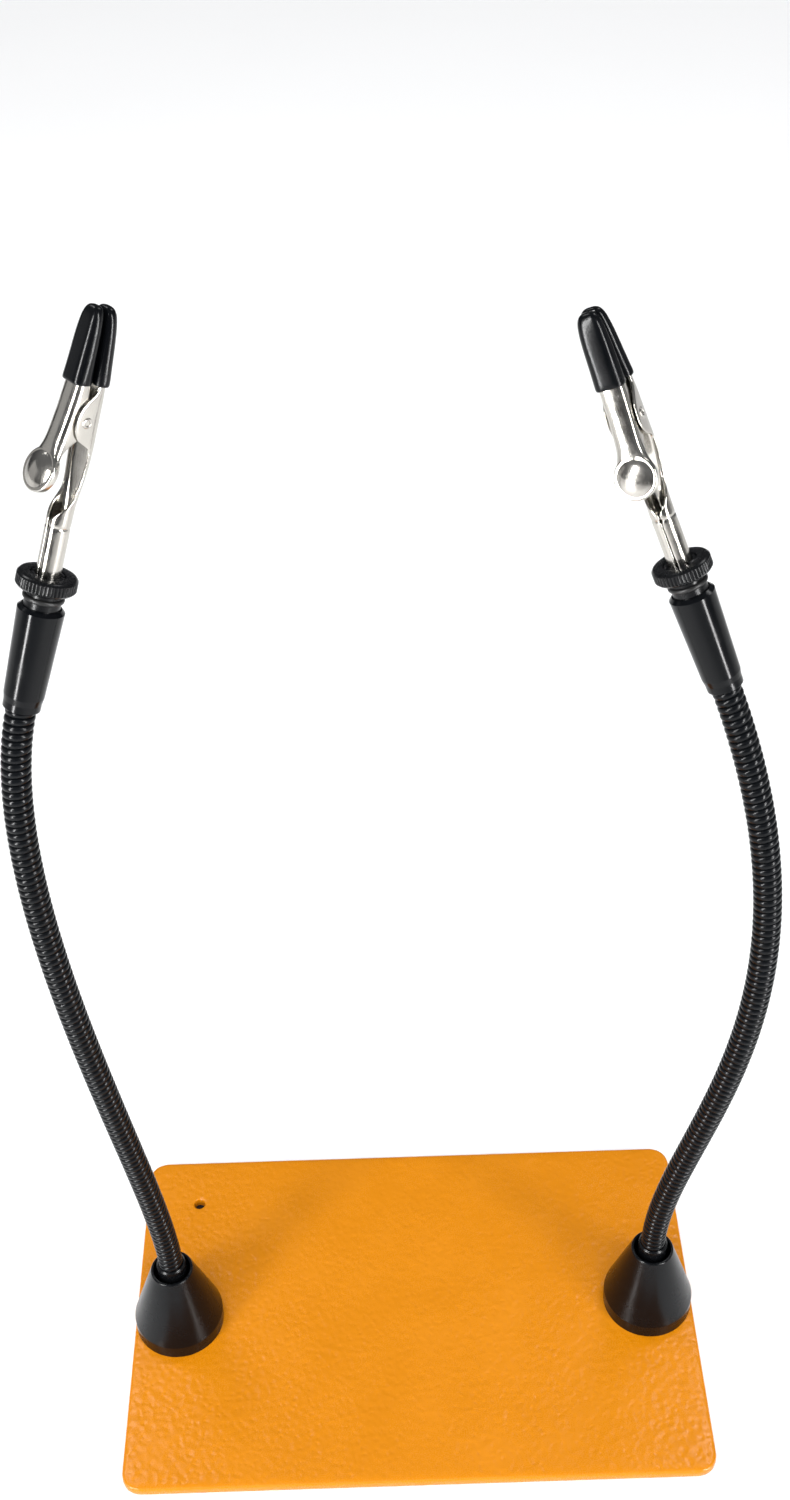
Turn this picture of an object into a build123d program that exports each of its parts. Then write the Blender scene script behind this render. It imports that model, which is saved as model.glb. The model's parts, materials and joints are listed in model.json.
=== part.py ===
from build123d import *
import math
import os

# Third-hand work holder for soldering: a steel base plate, two magnetic feet that stand on it,
# and on each foot a gooseneck arm with a swivelling crocodile clip.
#
# Millimetres. +X is to the right, +Y away from the user, +Z up. The origin is the centre of the
# underside of the anti-slip mat, which is the face that rests on the bench.

# ---- Base -------------------------------------------------------------------------------
PLATE_WIDTH = 150.0
PLATE_DEPTH = 100.0
PLATE_THICKNESS = 3.0
PLATE_CORNER_RADIUS = 5.0
PLATE_EDGE_RADIUS = 0.5
ACCESSORY_HOLE_RADIUS = 1.5
ACCESSORY_HOLE_INSET = (15.0, 14.5)
MAT_THICKNESS = 0.8
MAT_INSET = 3.0
MAT_CORNER_RADIUS = 3.5

# ---- Magnetic foot ----------------------------------------------------------------------
FOOT_RADIUS = 11.7
FOOT_RIM_HEIGHT = 4.0
FOOT_HEIGHT = 23.4
FOOT_MOUTH_RADIUS = 5.4
FOOT_SOCKET_RADIUS = 4.85
FOOT_WEB_BOTTOM = 6.2
FOOT_WEB_TOP = 9.2
FOOT_EDGE_RADIUS = 0.5
CUP_RADIUS = 9.8
CUP_HEIGHT = 5.8
CUP_WALL = 1.5
CUP_LIFT = 0.3
FOOT_POCKET_RADIUS = 9.9
MAGNET_RADIUS = 8.1
MAGNET_HEIGHT = 4.0
MAGNET_BORE_RADIUS = 3.6
SCREW_RADIUS = 1.5
SCREW_HEAD_RADIUS = 2.9
SCREW_HEAD_HEIGHT = 1.8
SCREW_LENGTH = 11.0
SCREW_HOLE_RADIUS = 1.8
SCREW_SLOT_LENGTH = 5.0
SCREW_SLOT_WIDTH = 0.8
SCREW_SLOT_DEPTH = 0.7

# ---- Gooseneck --------------------------------------------------------------------------
NECK_RADIUS = 3.15
NECK_BORE_RADIUS = 1.8
NECK_INSERT = 8.0
BEND_LENGTH = 5.0
BEND_PLACES = (0.17, 0.48, 0.79)
LENGTH_STEPS = 400
FERRULE_RADIUS = 3.75
FERRULE_COLLAR_RADIUS = 4.2
FERRULE_COLLAR_HEIGHT = 4.0
FERRULE_TOP = 26.0
FERRULE_GAP = 0.1
FERRULE_CHAMFER = 0.4
FIT = 0.05

# ---- Head: sleeve, spindle, nut ---------------------------------------------------------
SLEEVE_LENGTH = 22.3
SLEEVE_TOP_RADIUS = 4.7
SLEEVE_LOW_RADIUS = 4.1
SLEEVE_END_RADIUS = 3.5
SLEEVE_SHOULDER = 3.2
SLEEVE_RIM = 0.7
SLEEVE_END_FLARE = 0.3
SLEEVE_SHOULDER_STEP = 0.25
SLEEVE_SHOULDER_RUN = 1.4
SLEEVE_WEB = 0.9
SLEEVE_SLACK = 0.5
SPIGOT_RADIUS = 3.0
SPIGOT_LENGTH = 8.0
THROAT_LENGTH = 3.8
THROAT_RADIUS = 3.65
THROAT_GROOVE_RADIUS = 3.05
THROAT_GROOVE = 1.2
O_RING_WIRE = 0.55
NUT_HEIGHT = 3.0
NUT_RADIUS = 6.0
NUT_CHAMFER = 0.4
KNURL_COUNT = 46
KNURL_DEPTH = 0.2
COLLET_RADIUS = 3.3
COLLET_SLOT = 0.5
COLLET_SLOT_REACH = 2.5
COLLET_SLOTS = 4
COLLET_CHAMFER = 0.2
COLLET_FLOOR_GAP = 0.1

# ---- Crocodile clip, along its own axis from the top face of the nut ---------------------
SHEET = 0.6
BARREL_RADIUS = 2.6
BARREL_BOTTOM = -4.0
BARREL_TOP = 12.0
BARREL_RING = 9.8
BARREL_SEAM = 0.25
BARREL_WALL = 0.55
BARREL_END = 17.0
BARREL_RING_DEPTH = 0.15
BARREL_RING_WIDTH = 0.3
RIVET_HEIGHT = 31.5
RIVET_OFFSET = -0.6
RIVET_RADIUS = 0.8
RIVET_HEAD_RADIUS = 1.2
RIVET_HEAD = 0.35
RIVET_EDGE_RADIUS = 0.2
RIVET_CLEARANCE = 0.06
JAW_TIP = 52.2
JAW_GAP = 0.75
LEVER_WIDTH = 5.2
BASE_JAW_WIDTH = 6.7
LEVER_TIP_WIDTH = 4.0
BASE_TIP_WIDTH = 4.4
TIP_CHAMFER_WIDTH = 0.8
TIP_CHAMFER_HEIGHT = 1.0
TAPER_START = 36.0
THUMB_HEIGHT = 21.5
THUMB_RADIUS = 4.35
THUMB_DOME_RADIUS = 3.6
THUMB_DOME_HEIGHT = 0.9
THUMB_TILT = 16.0
THUMB_OFFSET = -7.1
THUMB_DEPTH = 1.5
THUMB_EDGE_RADIUS = 0.45
TOOTH_PITCH = 1.5
TOOTH_COUNT = 7
TOOTH_SIZE = 0.7
TOOTH_START = 1.6
SHOULDER_RADIUS = 0.9
TIP_SLEEVE_END = 38.5
TIP_SLEEVE_WALL = 0.6
TIP_SLEEVE_GAP = 0.15
TIP_SLEEVE_SET_BACK = 0.15
SPRING_WIRE = 0.3
SPRING_RADIUS = 1.75
SPRING_PITCH = 0.75
SPRING_TURNS = 4

# Longer than any piece: how far a cut or a plan reaches when it only has to pass right through.
THROUGH = 20.0

# ---- The two arms as they stand ---------------------------------------------------------
# foot: place on the plate. head: the lower end of the grip sleeve above the plate. lean: the
# head's tilt in degrees to the right and to the back. handles: how far the gooseneck holds its
# direction at the foot and at the head. facing: the way the clip's lever looks, in degrees from
# the front towards the left.
ARMS = {
    "left": {
        "foot": (-63.0, -1.5),
        "head": (-74.4, 2.7, 208.7),
        "lean": (17.2, 15.4),
        "handles": (38.5, 45.5),
        "facing": 48.0,
    },
    "right": {
        "foot": (63.0, 0.0),
        "head": (66.4, 7.1, 205.0),
        "lean": (-21.5, 14.0),
        "handles": (44.0, 88.0),
        "facing": 18.0,
    },
}

PLATE_TOP = MAT_THICKNESS + PLATE_THICKNESS


def ring(outer, inner, bottom, top):
    """A plain tube about Z."""
    height = top - bottom
    tube = Cylinder(outer, height) - Cylinder(inner, 2 * height)
    return Pos(0, 0, bottom + height / 2) * tube


def disc(radius, bottom, top):
    """A plain cylinder about Z."""
    return Pos(0, 0, (bottom + top) / 2) * Cylinder(radius, top - bottom)


def turned(outline):
    """A solid turned about Z from its half outline in (radius, height)."""
    edge = Polyline(*[(r, 0, z) for r, z in outline], close=True)
    return revolve(make_face(edge), Axis.Z, 360)


# ---- Base -------------------------------------------------------------------------------
def base_plate():
    blank = extrude(RectangleRounded(PLATE_WIDTH, PLATE_DEPTH, PLATE_CORNER_RADIUS), PLATE_THICKNESS)
    rims = blank.edges().group_by(Axis.Z)
    blank = fillet(rims[0] + rims[-1], PLATE_EDGE_RADIUS)
    inset_x, inset_y = ACCESSORY_HOLE_INSET
    hole = Pos(inset_x - PLATE_WIDTH / 2, PLATE_DEPTH / 2 - inset_y, 0) * Cylinder(
        ACCESSORY_HOLE_RADIUS, 4 * PLATE_THICKNESS
    )
    return Pos(0, 0, MAT_THICKNESS) * (blank - hole)


def base_mat():
    width = PLATE_WIDTH - 2 * MAT_INSET
    depth = PLATE_DEPTH - 2 * MAT_INSET
    return extrude(RectangleRounded(width, depth, MAT_CORNER_RADIUS), MAT_THICKNESS)


# ---- Magnetic foot ----------------------------------------------------------------------
def foot_housing():
    body = turned(
        [
            (0, 0),
            (FOOT_RADIUS, 0),
            (FOOT_RADIUS, FOOT_RIM_HEIGHT),
            (FOOT_MOUTH_RADIUS, FOOT_HEIGHT),
            (0, FOOT_HEIGHT),
        ]
    )
    rounded = [e for e in body.edges() if e.geom_type == GeomType.CIRCLE and e.center().Z > 1]
    body = fillet(rounded, FOOT_EDGE_RADIUS)
    body -= disc(FOOT_POCKET_RADIUS, -1, FOOT_WEB_BOTTOM)
    body -= disc(FOOT_SOCKET_RADIUS, FOOT_WEB_TOP, FOOT_HEIGHT + 1)
    body -= disc(SCREW_HOLE_RADIUS, 0, FOOT_HEIGHT)
    return body


def magnet_cup():
    floor = CUP_HEIGHT - CUP_WALL
    cup = disc(CUP_RADIUS, CUP_LIFT, CUP_HEIGHT) - disc(MAGNET_RADIUS + FIT, 0, floor)
    return cup - disc(SCREW_HOLE_RADIUS, 0, 2 * CUP_HEIGHT)


def magnet():
    top = CUP_HEIGHT - CUP_WALL
    return ring(MAGNET_RADIUS, MAGNET_BORE_RADIUS, top - MAGNET_HEIGHT + CUP_LIFT, top)


def foot_screw():
    head_top = CUP_HEIGHT - CUP_WALL - 2 * FIT
    head = disc(SCREW_HEAD_RADIUS, head_top - SCREW_HEAD_HEIGHT, head_top)
    slot = Pos(0, 0, head_top - SCREW_HEAD_HEIGHT) * Box(
        SCREW_SLOT_LENGTH, SCREW_SLOT_WIDTH, 2 * SCREW_SLOT_DEPTH
    )
    return head - slot + disc(SCREW_RADIUS, head_top, head_top + SCREW_LENGTH)


def ferrule():
    seat = FOOT_WEB_TOP + FERRULE_GAP
    collar_top = seat + FERRULE_COLLAR_HEIGHT
    neck_seat = FERRULE_TOP - NECK_INSERT
    shell = turned(
        [
            (SCREW_RADIUS + FIT, seat),
            (FERRULE_COLLAR_RADIUS, seat),
            (FERRULE_COLLAR_RADIUS, collar_top - FERRULE_CHAMFER),
            (FERRULE_COLLAR_RADIUS - FERRULE_CHAMFER, collar_top),
            (FERRULE_RADIUS, collar_top),
            (FERRULE_RADIUS, FERRULE_TOP - FERRULE_CHAMFER),
            (FERRULE_RADIUS - FERRULE_CHAMFER, FERRULE_TOP),
            (NECK_RADIUS + FIT, FERRULE_TOP),
            (NECK_RADIUS + FIT, neck_seat),
            (SCREW_RADIUS + FIT, neck_seat),
        ]
    )
    return shell


# ---- Gooseneck --------------------------------------------------------------------------
def head_direction(arm):
    right, back = (math.tan(math.radians(angle)) for angle in arm["lean"])
    return Vector(right, back, 1).normalized()


def neck_points(arm):
    """The four control points of the gooseneck's centreline, from the foot to the head."""
    start = Vector(*arm["foot"], PLATE_TOP + FERRULE_TOP)
    end = Vector(*arm["head"]) + Vector(0, 0, PLATE_TOP)
    hold_foot, hold_head = arm["handles"]
    return start, start + Vector(0, 0, hold_foot), end - head_direction(arm) * hold_head, end


def neck_point(arm, t):
    a, b, c, d = neck_points(arm)
    s = 1 - t
    return a * s**3 + b * (3 * s * s * t) + c * (3 * s * t * t) + d * t**3


def neck_tangent(arm, t):
    a, b, c, d = neck_points(arm)
    s = 1 - t
    return ((b - a) * (s * s) + (c - b) * (2 * s * t) + (d - c) * (t * t)).normalized()


def neck_lengths(arm):
    """The centreline's length from the foot up to each of many even steps of its parameter."""
    points = [neck_point(arm, i / LENGTH_STEPS) for i in range(LENGTH_STEPS + 1)]
    lengths = [0.0]
    for one, other in zip(points, points[1:]):
        lengths.append(lengths[-1] + (other - one).length)
    return lengths


def neck_station(arm, share):
    """The point and the direction of the centreline at a share of its length."""
    lengths = neck_lengths(arm)
    wanted = share * lengths[-1]
    k = min(range(len(lengths)), key=lambda i: abs(lengths[i] - wanted))
    return neck_point(arm, k / LENGTH_STEPS), neck_tangent(arm, k / LENGTH_STEPS)


def two_arcs(start, end):
    """Two tangent arcs from one (point, direction) to another."""
    (a, ta), (b, tb) = start, end
    span = b - a
    along = span.dot(ta + tb)
    spread = 2 * (1 - ta.dot(tb))
    reach = (math.sqrt(along**2 + spread * span.dot(span)) - along) / spread
    one, other = a + ta * reach, b - tb * reach
    middle = (one + other) * 0.5
    return [TangentArc(a, middle, tangent=ta), TangentArc(middle, b, tangent=other - one)]


def neck_pieces(arm):
    """The gooseneck's pieces from the foot up: four stiff stretches with a short bend between."""
    half = BEND_LENGTH / 2 / neck_lengths(arm)[-1]
    cuts = [0.0]
    for place in BEND_PLACES:
        cuts += [place - half, place + half]
    cuts.append(1.0)
    pieces = []
    for low, high in zip(cuts, cuts[1:]):
        pieces.append(two_arcs(neck_station(arm, low), neck_station(arm, high)))
    foot, foot_direction = neck_station(arm, 0.0)
    head, direction = neck_station(arm, 1.0)
    pieces[0].insert(0, Line(foot - foot_direction * NECK_INSERT, foot))
    pieces[-1].append(Line(head, head + direction * NECK_INSERT))
    return [neck_tube(piece) for piece in pieces]


def neck_tube(edges):
    path = Wire(edges)
    section = Plane(origin=path @ 0, z_dir=path % 0) * (Circle(NECK_RADIUS) - Circle(NECK_BORE_RADIUS))
    return sweep(section, path=path)


# ---- Head -------------------------------------------------------------------------------
SLEEVE_TOP = -(NUT_HEIGHT + THROAT_LENGTH)
SLEEVE_BOTTOM = SLEEVE_TOP - SLEEVE_LENGTH


def sleeve():
    low = SLEEVE_BOTTOM
    bore = NECK_RADIUS + FIT
    web = bore - SLEEVE_WEB
    spigot_floor = SLEEVE_TOP - SPIGOT_LENGTH - SLEEVE_SLACK
    neck_stop = low + NECK_INSERT + SLEEVE_SLACK
    profile = [
        (bore, low),
        (SLEEVE_END_RADIUS, low),
        (SLEEVE_END_RADIUS + SLEEVE_END_FLARE, low + SLEEVE_END_FLARE),
        (SLEEVE_LOW_RADIUS - SLEEVE_SHOULDER_STEP, low + SLEEVE_SHOULDER - SLEEVE_SHOULDER_RUN),
        (SLEEVE_LOW_RADIUS, low + SLEEVE_SHOULDER),
        (SLEEVE_TOP_RADIUS, SLEEVE_TOP - SLEEVE_RIM),
        (SLEEVE_TOP_RADIUS - SLEEVE_RIM, SLEEVE_TOP),
        (SPIGOT_RADIUS + FIT, SLEEVE_TOP),
        (SPIGOT_RADIUS + FIT, spigot_floor),
        (web, spigot_floor),
        (web, neck_stop),
        (bore, neck_stop),
    ]
    return turned(profile)


def spindle():
    """The turned piece between the sleeve and the clip: spigot, grooved throat and split collet."""
    throat_top = -NUT_HEIGHT
    middle = (SLEEVE_TOP + throat_top) / 2
    solid = turned(
        [
            (0, SLEEVE_TOP - SPIGOT_LENGTH),
            (SPIGOT_RADIUS, SLEEVE_TOP - SPIGOT_LENGTH),
            (SPIGOT_RADIUS, SLEEVE_TOP),
            (THROAT_RADIUS, SLEEVE_TOP),
            (THROAT_RADIUS, middle - THROAT_GROOVE / 2),
            (THROAT_GROOVE_RADIUS, middle - THROAT_GROOVE / 2),
            (THROAT_GROOVE_RADIUS, middle + THROAT_GROOVE / 2),
            (THROAT_RADIUS, middle + THROAT_GROOVE / 2),
            (THROAT_RADIUS, throat_top - FIT),
            (COLLET_RADIUS, throat_top - FIT),
            (COLLET_RADIUS, -COLLET_CHAMFER),
            (COLLET_RADIUS - COLLET_CHAMFER, 0.0),
            (0, 0.0),
        ]
    )
    solid -= disc(BARREL_RADIUS + FIT, BARREL_BOTTOM - COLLET_FLOOR_GAP, THROUGH)
    slot = Pos(COLLET_RADIUS, 0, -NUT_HEIGHT / 2) * Box(COLLET_SLOT_REACH, COLLET_SLOT, NUT_HEIGHT)
    for turn in range(COLLET_SLOTS):
        solid -= Rot(0, 0, 45 + 360 * turn / COLLET_SLOTS) * slot
    return solid


def o_ring():
    middle = (SLEEVE_TOP - NUT_HEIGHT) / 2
    return Pos(0, 0, middle) * Torus(THROAT_GROOVE_RADIUS + O_RING_WIRE, O_RING_WIRE)


def clamp_nut():
    blank = disc(NUT_RADIUS, -NUT_HEIGHT, 0)
    blank = chamfer(blank.edges().filter_by(GeomType.CIRCLE), NUT_CHAMFER)
    blank -= disc(COLLET_RADIUS + FIT, -2 * NUT_HEIGHT, NUT_HEIGHT)
    side = KNURL_DEPTH * math.sqrt(2)
    tooth = Pos(NUT_RADIUS, 0, -NUT_HEIGHT / 2) * (Rot(0, 0, 45) * Box(side, side, 2 * NUT_HEIGHT))
    grooves = [Rot(0, 0, 360 * k / KNURL_COUNT) * tooth for k in range(KNURL_COUNT)]
    return blank - grooves


# ---- Clip -------------------------------------------------------------------------------
def across(outline, width):
    """A flat outline in (height, offset) made into a solid, centred on the clip's middle plane."""
    edges = Polyline(*[(0, y, z) for z, y in outline], close=True)
    return extrude(make_face(edges), width / 2, dir=(1, 0, 0), both=True)


def pressed(back, edge, width):
    """The side view of a pressed jaw as a solid: a smooth back, then straight runs round the edge."""
    curve = Spline(*[(0, y, z) for z, y in back])
    runs = Polyline(*[(0, y, z) for z, y in [back[-1]] + edge + [back[0]]])
    return extrude(make_face(curve + runs), width / 2, dir=(1, 0, 0), both=True)


def tapered(width, tip_width, low, high):
    """The plan of a jaw: straight sides up to the taper, then narrower towards a blunt tip."""
    half, tip = width / 2, tip_width / 2
    outline = [
        (-half, low),
        (half, low),
        (half, TAPER_START),
        (tip, high - TIP_CHAMFER_HEIGHT),
        (tip - TIP_CHAMFER_WIDTH, high),
        (TIP_CHAMFER_WIDTH - tip, high),
        (-tip, high - TIP_CHAMFER_HEIGHT),
        (-half, TAPER_START),
    ]
    face = make_face(Polyline(*[(x, 0, z) for x, z in outline], close=True))
    return extrude(face, THROUGH, dir=(0, 1, 0), both=True)


LEVER_BACK = [(24.0, -6.45), (26.0, -6.0), (31.5, -4.8), (39.0, -3.6), (JAW_TIP, -2.2)]
LEVER_EDGE = [
    (JAW_TIP, -JAW_GAP),
    (37.0, -JAW_GAP),
    (34.2, 1.2),
    (31.5, 1.9),
    (28.8, 1.0),
    (24.0, -4.6),
]
BASE_BACK = [(12.0, 2.6), (24.0, 2.8), (40.0, 2.8), (JAW_TIP, 2.1)]
BASE_EDGE = [
    (JAW_TIP, JAW_GAP),
    (37.2, JAW_GAP),
    (35.6, -1.2),
    (33.6, -2.7),
    (31.5, -3.1),
    (29.4, -2.7),
    (27.4, -1.2),
    (26.2, 1.3),
    (16.5, 1.3),
    (12.0, 0.0),
]
# The base jaw's half width along its height, from the barrel up, and the cut that opens the V.
BASE_WAIST = [(11.0, 2.45), (15.0, 2.6), (25.0, 3.35), (60.0, 3.35)]
BARREL_MOUTH = [(BARREL_TOP, -5.0), (17.5, 1.6), (20.0, 5.0), (20.0, -5.0)]


def inset(outline, amount):
    """The same outline with every offset moved by an amount."""
    return [(z, y + amount) for z, y in outline]


def teeth(side):
    """Notches along the edge of a jaw. side is -1 on the lever and 1 on the base jaw."""
    notches = []
    for k in range(TOOTH_COUNT):
        place = Pos(0, side * JAW_GAP, JAW_TIP - TOOTH_START - k * TOOTH_PITCH)
        notches.append(place * (Rot(45, 0, 0) * Box(THROUGH, TOOTH_SIZE, TOOTH_SIZE)))
    return notches


def rivet_hole(radius):
    return Pos(0, RIVET_OFFSET, RIVET_HEIGHT) * (Rot(0, 90, 0) * Cylinder(radius, THROUGH))


LONG_EDGE = 1.8
BACK_BEYOND = 1.9
SIDE_BEYOND = 1.7


def back_edges(solid, side):
    """The long outer edges along the back of a jaw, on both sides of it."""
    found = []
    for edge in solid.edges():
        middle = edge.center()
        is_long = abs((edge @ 1 - edge @ 0).Z) > LONG_EDGE
        if is_long and middle.Y * side > BACK_BEYOND and abs(middle.X) > SIDE_BEYOND:
            found.append(edge)
    return found


def blank(back, edge, width, tip_width, side):
    """The outer form of a jaw, with rounded shoulders along its back."""
    solid = pressed(back, edge, width) & tapered(width, tip_width, back[0][0] - 1, JAW_TIP)
    return fillet(back_edges(solid, side), SHOULDER_RADIUS)


def channel(back, edge, width, tip_width, side):
    """A jaw pressed from sheet: a tapering channel, open towards the other jaw."""
    low = back[0][0]
    inner_back = inset(back, -side * SHEET)
    reach = [(JAW_TIP, -side * THROUGH), (low, -side * THROUGH)]
    pocket = pressed(inner_back, reach, width - 2 * SHEET)
    pocket &= tapered(width - 2 * SHEET, tip_width - 2 * SHEET, 0, JAW_TIP - SHEET)
    return blank(back, edge, width, tip_width, side) - pocket


def clip_lever():
    jaw = channel(LEVER_BACK, LEVER_EDGE, LEVER_WIDTH, LEVER_TIP_WIDTH, -1)
    pad = disc(THUMB_RADIUS, -THUMB_DEPTH, 0)
    pad = fillet(pad.edges().group_by(Axis.Z)[-1], THUMB_EDGE_RADIUS)
    pad -= disc(THUMB_RADIUS - SHEET, -THUMB_RADIUS, -SHEET)
    ball = (THUMB_DOME_RADIUS**2 + THUMB_DOME_HEIGHT**2) / (2 * THUMB_DOME_HEIGHT)
    dome = Pos(0, 0, THUMB_DOME_HEIGHT - ball) * Sphere(ball)
    pad += dome & disc(THUMB_DOME_RADIUS, -SHEET / 2, 2 * THUMB_DOME_HEIGHT)
    place = Pos(0, THUMB_OFFSET, THUMB_HEIGHT) * Rot(90 - THUMB_TILT, 0, 0)
    jaw = jaw - place * disc(THUMB_RADIUS - SHEET, -THUMB_RADIUS, -FIT) + place * pad
    jaw -= rivet_hole(RIVET_RADIUS + RIVET_CLEARANCE)
    return jaw - teeth(-1)


def clip_base():
    jaw = channel(BASE_BACK, BASE_EDGE, BASE_JAW_WIDTH, BASE_TIP_WIDTH, 1)
    right = [(half, 0, z) for z, half in BASE_WAIST]
    left = [(-half, 0, z) for z, half in reversed(BASE_WAIST)]
    waist = make_face(Polyline(*right, *left, close=True))
    jaw &= extrude(waist, THROUGH, dir=(0, 1, 0), both=True)
    bore = BARREL_RADIUS - BARREL_WALL
    barrel = ring(BARREL_RADIUS, bore, BARREL_BOTTOM, BARREL_END)
    barrel -= across(BARREL_MOUTH, THROUGH)
    barrel -= Pos(0, -BARREL_RADIUS, 0) * Box(BARREL_SEAM, BARREL_RADIUS, 2 * THROUGH)
    groove_top = BARREL_RING + BARREL_RING_WIDTH
    barrel -= ring(2 * BARREL_RADIUS, BARREL_RADIUS - BARREL_RING_DEPTH, BARREL_RING, groove_top)
    jaw -= disc(bore, 0, BARREL_END + 1)
    jaw = jaw + barrel
    jaw -= rivet_hole(RIVET_RADIUS)
    return jaw - teeth(1)


def clip_rivet():
    half = BASE_JAW_WIDTH / 2
    solid = Cylinder(RIVET_RADIUS, BASE_JAW_WIDTH)
    for side in (-1, 1):
        solid += Pos(0, 0, side * (half + RIVET_HEAD / 2)) * Cylinder(RIVET_HEAD_RADIUS, RIVET_HEAD)
    rims = solid.edges().group_by(Axis.Z)
    solid = fillet(rims[0] + rims[-1], RIVET_EDGE_RADIUS)
    return Pos(0, RIVET_OFFSET, RIVET_HEIGHT) * (Rot(0, 90, 0) * solid)


def clip_spring():
    """The coil wound about the rivet that presses the jaws together."""
    length = SPRING_PITCH * SPRING_TURNS
    coil = Helix(SPRING_PITCH, length, SPRING_RADIUS)
    wire = Plane(origin=coil @ 0, z_dir=coil % 0) * Circle(SPRING_WIRE)
    winding = Pos(-length / 2, 0, 0) * (Rot(0, 90, 0) * sweep(wire, path=coil, is_frenet=True))
    return Pos(0, RIVET_OFFSET, RIVET_HEIGHT) * winding


def tip_sleeve(side):
    """The soft sleeve over one jaw tip. side is -1 on the lever and 1 on the base jaw."""
    if side < 0:
        back, edge, width, tip = LEVER_BACK, LEVER_EDGE, LEVER_WIDTH, LEVER_TIP_WIDTH
    else:
        back, edge, width, tip = BASE_BACK, BASE_EDGE, BASE_JAW_WIDTH, BASE_TIP_WIDTH
    wall = TIP_SLEEVE_WALL
    end = JAW_TIP + wall
    gap = side * TIP_SLEEVE_GAP
    tip_offset = back[-1][1] + side * (wall - TIP_SLEEVE_SET_BACK)
    outer_back = inset(back[:-1], side * wall) + [(end, tip_offset)]
    outer = pressed(outer_back, [(end, gap), (back[0][0], gap)], THROUGH)
    outer &= tapered(width + 2 * wall, tip + 2 * wall, 0, end)
    outer &= disc(THROUGH, TIP_SLEEVE_END, end)
    outer = fillet(back_edges(outer, side), SHOULDER_RADIUS + wall / 2)
    return outer - blank(back, edge, width, tip, side)


# ---- Placing and writing ----------------------------------------------------------------
def foot_place(arm):
    return Pos(*arm["foot"], PLATE_TOP)


def head_place(arm):
    """The head's frame: its origin is the centre of the nut's top face and +Z is the clip's axis."""
    axis = head_direction(arm)
    origin = neck_points(arm)[3] - axis * SLEEVE_BOTTOM
    facing = math.radians(arm["facing"])
    back = Vector(math.sin(facing), math.cos(facing), 0)
    back = (back - axis * back.dot(axis)).normalized()
    return Plane(origin=origin, x_dir=back.cross(axis), z_dir=axis).location


def write(name, solid):
    export_step(solid, f"parts/{name}.step")


def write_arm(side, arm):
    foot, head = foot_place(arm), head_place(arm)
    on_foot = {
        "foot_housing": foot_housing(),
        "magnet_cup": magnet_cup(),
        "foot_magnet": magnet(),
        "foot_screw": foot_screw(),
        "neck_ferrule": ferrule(),
    }
    on_head = {
        "grip_sleeve": sleeve(),
        "spindle": spindle(),
        "o_ring": o_ring(),
        "clamp_nut": clamp_nut(),
        "clip_base": clip_base(),
        "clip_lever": clip_lever(),
        "clip_rivet": clip_rivet(),
        "clip_spring": clip_spring(),
        "base_tip_sleeve": tip_sleeve(1),
        "lever_tip_sleeve": tip_sleeve(-1),
    }
    for name, solid in on_foot.items():
        write(f"{side}_{name}", foot * solid)
    for name, solid in on_head.items():
        write(f"{side}_{name}", head * solid)
    for number, solid in enumerate(neck_pieces(arm)):
        kind = "bend" if number % 2 else "gooseneck"
        write(f"{side}_{kind}_{number // 2 + 1}", solid)


def main():
    os.makedirs("parts", exist_ok=True)
    write("base_plate", base_plate())
    write("base_mat", base_mat())
    for side, arm in ARMS.items():
        write_arm(side, arm)


main()
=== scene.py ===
# %% [markdown]
# # Soldering work holder
# A third hand for soldering: a painted steel plate, two magnetic feet, and on each foot a black
# gooseneck that ends in a crocodile clip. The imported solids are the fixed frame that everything
# here is built around, in metres. The plate's dented paint, the ribs of the goosenecks, the pressed
# clips and their soft sleeves are modelled here, and the turned pieces keep their solids.

# %% Load the frame
import json
import math

import bmesh
import bpy
from mathutils import Matrix, Vector


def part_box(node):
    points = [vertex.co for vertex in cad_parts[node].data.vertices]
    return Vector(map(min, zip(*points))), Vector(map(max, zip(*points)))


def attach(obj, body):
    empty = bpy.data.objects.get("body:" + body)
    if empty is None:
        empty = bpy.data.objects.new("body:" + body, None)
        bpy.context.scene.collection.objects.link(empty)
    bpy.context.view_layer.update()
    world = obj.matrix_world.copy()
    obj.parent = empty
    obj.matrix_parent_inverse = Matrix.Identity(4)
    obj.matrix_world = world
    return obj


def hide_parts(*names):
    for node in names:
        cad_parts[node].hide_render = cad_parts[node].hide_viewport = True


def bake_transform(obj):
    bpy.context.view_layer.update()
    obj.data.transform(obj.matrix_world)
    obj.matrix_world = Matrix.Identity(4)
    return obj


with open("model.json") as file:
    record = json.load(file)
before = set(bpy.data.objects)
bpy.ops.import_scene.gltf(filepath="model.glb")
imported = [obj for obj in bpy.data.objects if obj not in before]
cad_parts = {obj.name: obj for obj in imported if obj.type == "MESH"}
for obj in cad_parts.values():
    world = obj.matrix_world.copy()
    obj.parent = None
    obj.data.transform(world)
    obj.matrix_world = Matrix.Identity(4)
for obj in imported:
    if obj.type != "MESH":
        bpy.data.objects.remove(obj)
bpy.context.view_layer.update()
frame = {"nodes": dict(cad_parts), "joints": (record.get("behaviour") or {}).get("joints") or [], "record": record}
JOINTS = {joint["name"]: joint for joint in frame["joints"]}
SIDES = ("left", "right")
MM = 0.001

# %% [markdown]
# ## The camera
# It stands in front of the plate, above the arms, and looks down by about forty degrees. It is
# placed by turning it in three plain steps: round the upright, down towards the plate, and a
# little on its own axis. The long side of the picture takes the whole sensor.

# %% Camera
CAMERA_PLACE = (-1.66 * MM, -282.8 * MM, 440.0 * MM)
CAMERA_DOWN = math.radians(40.23)
CAMERA_TURN = math.radians(-0.21)
CAMERA_ROLL = math.radians(-1.70)
CAMERA_LENS = 44.16

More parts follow.
